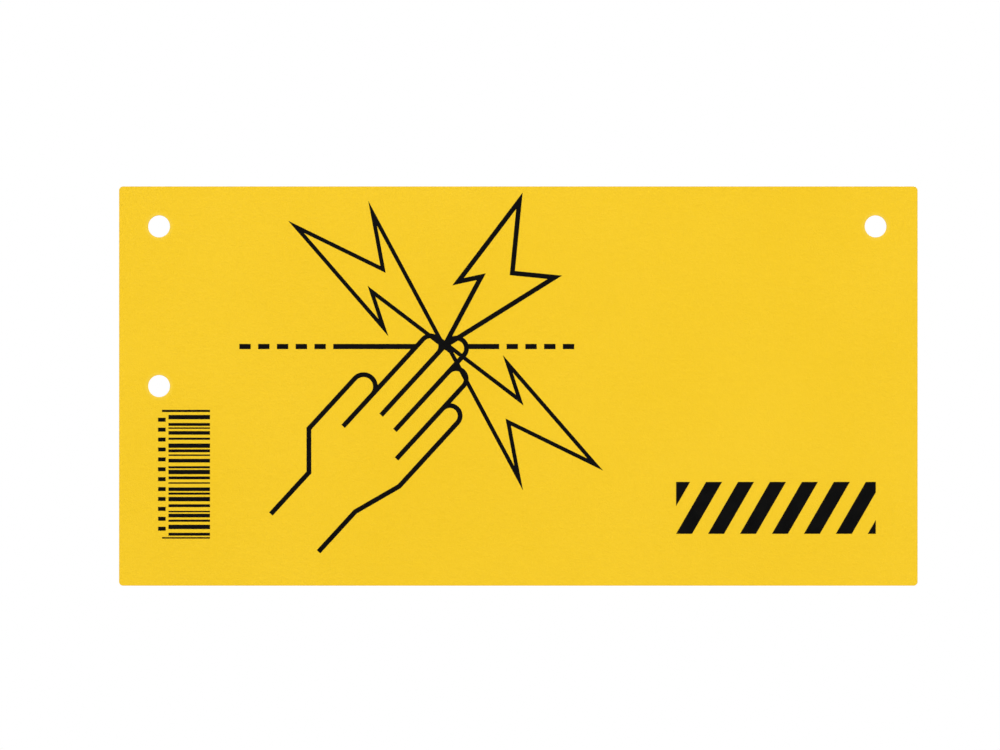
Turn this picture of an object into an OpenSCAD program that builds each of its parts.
// Warning sign for an electric fence: one sheet of yellow plastic with rounded edges and three
// punched fixing holes, printed in black. It stands upright, its front facing -Y.
// The origin is midway between the two top holes, at half the thickness of the sheet.

/* [Sheet] */
// Width of the sheet
plate_w = 200; // [180:1:400]
// Height of the sheet
plate_h = 100; // [80:1:150]
// Thickness of the sheet
plate_t = 1; // [0.8:0.1:3]
// Radius of the corners of the sheet
corner_r = 1; // [0.5:0.1:5]
// Rounding along the outer edges of the sheet
edge_r = 0.2; // [0.05:0.05:0.35]

/* [Fixing holes] */
// Diameter of a fixing hole
hole_d = 5.5; // [3:0.1:8]
// Rounding of the rims of the holes
rim_r = 0.15; // [0.05:0.05:0.35]
// Left edge of the sheet to the middle of the left holes
hole_left = 10; // [6:0.5:14]
// Right edge of the sheet to the middle of the right hole
hole_right = 10.5; // [6:0.5:14]
// Top edge of the sheet to the middle of the top holes
hole_top = 10; // [6:0.5:16]
// Top left hole down to the lower left hole
hole_drop = 40; // [30:1:50]

/* [Print] */
// Thickness of the printed ink
ink_t = 0.05; // [0.02:0.01:0.2]
// Height of the sheet for which the figure's own sizes are given
drawn_h = 100; // [90:1:110]
// Left edge of the sheet to the point where the hand meets the wire
touch_left = 81.4; // [70:0.05:100]
// Lower edge of the sheet up to the point where the hand meets the wire
touch_up = 59.9; // [56:0.1:61]

/* [Wire] */
// Width of the printed wire
wire_line = 1.3; // [0.8:0.1:2]
// Unbroken length of wire on the left of the touch point
wire_left = 27.75; // [15:0.25:30]
// Unbroken length of wire on the right of the touch point
wire_right = 13.8; // [8:0.2:20]
// Length of a dash
dash_len = 2.85; // [1.5:0.05:4]
// Gap between dashes
dash_gap = 1.85; // [1:0.05:3]
// Number of dashes on the left
dashes_left = 5; // [1:1:6]
// Number of dashes on the right
dashes_right = 4; // [1:1:8]

/* [Hand] */
// Width of the lines of the hand
hand_line = 1.2; // [0.8:0.1:1.8]
// Slope of the fingers, in degrees
finger_slope = 47.5; // [40:0.5:55]
// Width of a finger between the middles of its two lines
finger_w = 5.12; // [4:0.04:6]
// Width of the thumb between the middles of its two lines
thumb_w = 5.95; // [4:0.05:8]
// Middle of the index fingertip behind the touch point, along the finger
index_back = 2.2; // [1:0.05:4]
// Middle of the middle fingertip ahead of the touch point
middle_ahead = 1.75; // [0.5:0.05:3]
// Middle of the ring fingertip behind the touch point
ring_back = 3.95; // [2:0.05:6]
// Middle of the little fingertip behind the touch point
little_back = 11.8; // [9:0.1:14]
// Middle of the thumb's tip behind the touch point
thumb_back = 21; // [18:0.1:26]
// Length of the line on the thumb's side of the index finger
index_len = 29.6; // [26:0.1:32]
// Length of the line between the index and the middle finger
middle_len = 25.05; // [20:0.05:28]
// Length of the line between the middle and the ring finger
ring_len = 25.55; // [20:0.05:28]
// Length of the line between the ring and the little finger
little_len = 24.85; // [20:0.05:28]
// Length of the outer line of the little finger
outer_len = 21.6; // [18:0.1:24]
// Length of the outer line of the thumb
thumb_len = 17; // [12:0.1:20]
// Length of the upright side of the hand below the thumb
side_len = 11; // [6:0.5:14]
// Length of the wrist on the thumb's side
wrist_left = 14.1; // [8:0.1:18]
// Slope of the heel of the hand, in degrees
heel_slope = 30; // [20:1:40]
// Length of the heel of the hand
heel_len = 12.7; // [8:0.1:16]
// Length of the wrist on the little finger's side
wrist_right = 13.6; // [8:0.1:16]

/* [Flashes] */
// Width of the lines of the two side flashes
side_line = 1; // [0.6:0.1:1.3]
// Width of the lines of the top flash
top_line = 1.2; // [0.6:0.1:1.4]
// Reach of the two side flashes from the touch point
side_reach = 37.05; // [30:0.05:42]
// Height of the two side flashes
side_h = 33.4; // [28:0.05:34]
// Reach of the top flash to the right of the touch point
top_reach = 27.75; // [22:0.05:34]
// Height of the top flash
top_h = 36.5; // [30:0.1:37]
// Point of the right flash to the right of the touch point
point_right = 0.8; // [0:0.05:1.5]
// Point of the right flash above the touch point
point_up = 0.4; // [0:0.05:1]

/* [Bar strip] */
// Left edge of the sheet to the bars
bars_left = 12.4; // [9:0.1:14]
// Length of a bar
bar_len = 10.4; // [6:0.1:14]
// Extra length of the first and last bar
guard_len = 1.6; // [0:0.1:2]
// Lower edge of the sheet to the first bar
bars_up = 11.8; // [6:0.1:20]
// Last bar to the rim of the lower left hole
bars_gap = 3.2; // [1:0.1:8]
// Number of bars
bar_count = 24; // [8:1:30]
// Number of ticks beside the bars
tick_count = 12; // [4:1:16]
// Width of a tick
tick_w = 1.9; // [1:0.1:2]
// Height of a tick
tick_h = 1; // [0.5:0.1:1.2]
// Gap between the ticks and the bars
tick_gap = 0.7; // [0.3:0.1:1]

/* [Stripe band] */
// Right edge of the sheet to the band
band_right = 10.5; // [5:0.5:20]
// Lower edge of the sheet to the band
band_up = 13; // [5:0.5:14]
// Width of the band
band_w = 50; // [30:1:56]
// Height of the band
band_h = 13; // [6:0.5:14]
// Slope of the stripes, in degrees
stripe_slope = 60; // [45:1:75]
// Distance from one stripe to the next
stripe_pitch = 8; // [6:0.5:12]
// Level width of a stripe
stripe_w = 4; // [2:0.5:5]

/* [Hidden] */
$fn = 64;

yellow = [0.97, 0.8, 0.16];
black = [0.05, 0.05, 0.05];

// Places on the sheet, seen from the front
hole_span = plate_w - hole_left - hole_right;
sheet_left = -hole_span / 2 - hole_left;
sheet_low = hole_top - plate_h;
sheet_mid = sheet_left + plate_w / 2;
left_hole_x = sheet_left + hole_left;
right_hole_x = left_hole_x + hole_span;
bars_h = plate_h - hole_top - hole_drop - hole_d / 2 - bars_gap - bars_up;
figure_scale = plate_h / drawn_h;
figure_ink_t = ink_t / figure_scale;

// Corners of the left flash, as shares of its reach and height, from the touch point
side_corners = [
    [0, 0],
    [-0.49, 0.414],
    [-0.409, 0.141],
    [-1, 0.897],
    [-0.412, 0.578],
    [-0.483, 1]
];
// Corners of the top flash, as shares of its reach and height, from the touch point
top_corners = [
    [0, 0],
    [1, 0.475],
    [0.616, 0.504],
    [0.68, 1],
    [0.127, 0.445],
    [0.336, 0.479]
];

// Index, middle, ring and little finger: fingertips from the touch point, and lines beside them
finger_tips = [-index_back, middle_ahead, -ring_back, -little_back];
line_lens = [index_len, middle_len, ring_len, little_len];
fingers = len(finger_tips);

// Unit vector at an angle
function heading(angle) = [cos(angle), sin(angle)];

// Point of the drawing from its place along the fingers and across them, towards the thumb
function on_hand(along, across) =
    along * heading(finger_slope) + across * heading(finger_slope + 90);

// Point beside the corner p, on the left of the lines a-p and p-b by the distance d
function beside(a, p, b, d) =
    let (u = (p - a) / norm(p - a), v = (b - p) / norm(b - p))
    p + d * [-u.y - v.y, u.x + v.x] / (1 + u * v);

// Closed outline moved sideways by the distance d, with sharp corners
function moved_loop(points, d) =
    let (n = len(points))
    [for (i = [0 : n - 1]) beside(points[(i + n - 1) % n], points[i], points[(i + 1) % n], d)];

// Open line moved sideways by the distance d, with sharp corners and square ends
function moved_line(points, d) =
    let (n = len(points))
    [for (i = [0 : n - 1])
        beside(
            i == 0 ? 2 * points[0] - points[1] : points[i - 1],
            points[i],
            i == n - 1 ? 2 * points[i] - points[i - 1] : points[i + 1],
            d
        )];

function reversed(points) = [for (i = [len(points) - 1 : -1 : 0]) points[i]];

// Ink in the shape of a drawing, inside the figure, which is scaled afterwards
module figure_ink() {
    linear_extrude(figure_ink_t)
        children();
}

// Printed line of the width w along a closed outline
module closed_line(points, w) {
    n = len(points);
    figure_ink()
        polygon(
            concat(moved_loop(points, w / 2), moved_loop(points, -w / 2)),
            [[for (i = [0 : n - 1]) i], [for (i = [0 : n - 1]) n + i]]
        );
}

// Printed line of the width w from the first point to the last
module open_line(points, w) {
    figure_ink()
        polygon(concat(moved_line(points, w / 2), reversed(moved_line(points, -w / 2))));
}

// Half ring round a fingertip, its open side facing back along the finger
module tip_line(width, w) {
    outer = (width + w) / 2;
    figure_ink()
        difference() {
            circle(r = outer);
            circle(r = (width - w) / 2);
            translate([-2 * outer, -outer])
                square(2 * outer);
        }
}

// Level stretch of the wire
module wire_piece(from, to) {
    open_line([[from, 0], [to, 0]], wire_line);
}

// Wire through the touch point: dashes, an unbroken length on each side and the hand between
module wire() {
    pitch = dash_len + dash_gap;
    tip = on_hand(finger_tips[1], -finger_w / 2);
    tip_edge = tip.x + sqrt(pow(finger_w / 2, 2) - pow(tip.y, 2));
    wire_piece(-wire_left, -finger_w / sin(finger_slope));
    wire_piece(tip_edge, wire_right);
    for (i = [1 : dashes_left])
        wire_piece(-wire_left - i * pitch, -wire_left - i * pitch + dash_len);
    for (i = [1 : dashes_right])
        wire_piece(wire_right + i * pitch - dash_len, wire_right + i * pitch);
}

// Lines between the fingers, each down from the longer of the two fingertips beside it
module finger_lines() {
    for (i = [0 : fingers - 1]) {
        across = (1 - i) * finger_w;
        top = i == 0 ? finger_tips[0] : max(finger_tips[i - 1], finger_tips[i]);
        open_line([[top - line_lens[i], across], [top, across]], hand_line);
    }
}

module fingertips() {
    for (i = [0 : fingers - 1])
        translate([finger_tips[i], (0.5 - i) * finger_w])
            tip_line(finger_w, hand_line);
    translate([-thumb_back, finger_w + thumb_w / 2])
        tip_line(thumb_w, hand_line);
}

// Outer line of the thumb, upright side of the hand and wrist
module thumb_line() {
    tip = [-thumb_back, finger_w + thumb_w];
    root = tip - [thumb_len, 0];
    wrist = root + side_len * heading(-90 - finger_slope);
    open_line([tip, root, wrist, wrist - [wrist_left, 0]], hand_line);
}

// Outer line of the little finger, heel of the hand and wrist
module little_line() {
    tip = [finger_tips[fingers - 1], (1 - fingers) * finger_w];
    root = tip - [outer_len, 0];
    wrist = root - heel_len * heading(heel_slope - finger_slope);
    open_line([tip, root, wrist, wrist - [wrist_right, 0]], hand_line);
}

// Hand, drawn with x along the fingers and y across them, towards the thumb
module hand() {
    rotate(finger_slope) {
        finger_lines();
        fingertips();
        thumb_line();
        little_line();
    }
}

module side_flash() {
    closed_line([for (p = side_corners) [p.x * side_reach, p.y * side_h]], side_line);
}

module top_flash() {
    closed_line([for (p = top_corners) [p.x * top_reach, p.y * top_h]], top_line);
}

// Hand that touches a wire, with three flashes, the right one being the left one turned half round;
// x and y run from the sheet's lower left corner
module figure() {
    scale(figure_scale)
        translate([touch_left, touch_up]) {
            wire();
            hand();
            side_flash();
            top_flash();
            translate([point_right, point_up])
                rotate(180)
                    side_flash();
        }
}

// Thickness of bar i and of the gap after it, in shares, by a plain rule
function bar_share(i) = 1 + (2 * i % 5) / 2;
function gap_share(i) = 1 + (3 * i % 4) / 2;
function bar_start(i) = i == 0 ? 0 : bar_start(i - 1) + bar_share(i - 1) + gap_share(i - 1);

// Bars stacked from near the lower edge to just under the lower left hole
module bars() {
    last = bar_count - 1;
    unit = bars_h / (bar_start(last) + bar_share(last));
    for (i = [0 : last]) {
        guard = i == 0 || i == last ? guard_len : 0;
        translate([bars_left - guard, bars_up + bar_start(i) * unit])
            square([bar_len + guard, bar_share(i) * unit]);
    }
}

// Column of ticks on the left of the bars, between the two long ones
module ticks() {
    pitch = bars_h / (tick_count + 1);
    for (i = [1 : tick_count])
        translate([bars_left - tick_gap - tick_w, bars_up + i * pitch - tick_h / 2])
            square([tick_w, tick_h]);
}

// Slanting stripes cut off to a rectangle
module stripes() {
    lean = band_h / tan(stripe_slope);
    intersection() {
        square([band_w, band_h]);
        for (x = [-ceil(lean / stripe_pitch) * stripe_pitch : stripe_pitch : band_w])
            polygon([
                [x, 0],
                [x + stripe_w, 0],
                [x + stripe_w + lean, band_h],
                [x + lean, band_h]
            ]);
    }
}

// Stands a layer of ink, measured from the lower left corner of the sheet, on the front
module on_front() {
    translate([sheet_left, -plate_t / 2, sheet_low])
        rotate([90, 0, 0])
            children();
}

// Stands it on the back, to be read from behind
module on_back() {
    translate([2 * sheet_mid, 0, 0])
        rotate([0, 0, 180])
            on_front()
                children();
}

// Cross-section of the sheet, with its long edges rounded
module sheet_section(width) {
    square([width - 2 * edge_r, plate_t], center = true);
    square([width, plate_t - 2 * edge_r], center = true);
    for (x = [-1, 1], y = [-1, 1])
        translate([x * (width / 2 - edge_r), y * (plate_t / 2 - edge_r)])
            circle(r = edge_r);
}

// Quarter of a round disc with a rounded rim fills each corner of the sheet
module corner_disc() {
    rotate([90, 0, 0])
        rotate_extrude()
            intersection() {
                sheet_section(2 * corner_r);
                translate([0, -plate_t])
                    square([corner_r + plate_t, 2 * plate_t]);
            }
}

// Sheet before its holes are punched, centred on the origin
module blank() {
    rotate([90, 0, 90])
        linear_extrude(plate_w - 2 * corner_r, center = true)
            rotate(90)
                sheet_section(plate_h);
    linear_extrude(plate_h - 2 * corner_r, center = true)
        sheet_section(plate_w);
    for (x = [-1, 1], z = [-1, 1])
        translate([x * (plate_w / 2 - corner_r), 0, z * (plate_h / 2 - corner_r)])
            corner_disc();
}

// Hole through the sheet along Y, with its two rims rounded
module hole() {
    hole_r = hole_d / 2;
    rotate([90, 0, 0])
        rotate_extrude()
            difference() {
                translate([0, -plate_t])
                    square([hole_r + rim_r, 2 * plate_t]);
                translate([hole_r, rim_r - plate_t / 2])
                    square([2 * rim_r, plate_t - 2 * rim_r]);
                for (y = [-1, 1])
                    translate([hole_r + rim_r, y * (plate_t / 2 - rim_r)])
                        circle(r = rim_r);
            }
}

module sign_plate() {
    color(yellow)
        difference() {
            translate([sheet_mid, 0, sheet_low + plate_h / 2])
                blank();
            for (p = [[left_hole_x, 0], [left_hole_x, -hole_drop], [right_hole_x, 0]])
                translate([p.x, 0, p.y])
                    hole();
        }
}

module front_figure() {
    color(black)
        on_front()
            figure();
}

module back_figure() {
    color(black)
        on_back()
            figure();
}

module bar_strip() {
    color(black)
        on_front()
            linear_extrude(ink_t) {
                bars();
                ticks();
            }
}

module stripe_band() {
    color(black)
        on_front()
            translate([plate_w - band_right - band_w, band_up])
                linear_extrude(ink_t)
                    stripes();
}

sign_plate();
front_figure();
back_figure();
bar_strip();
stripe_band();
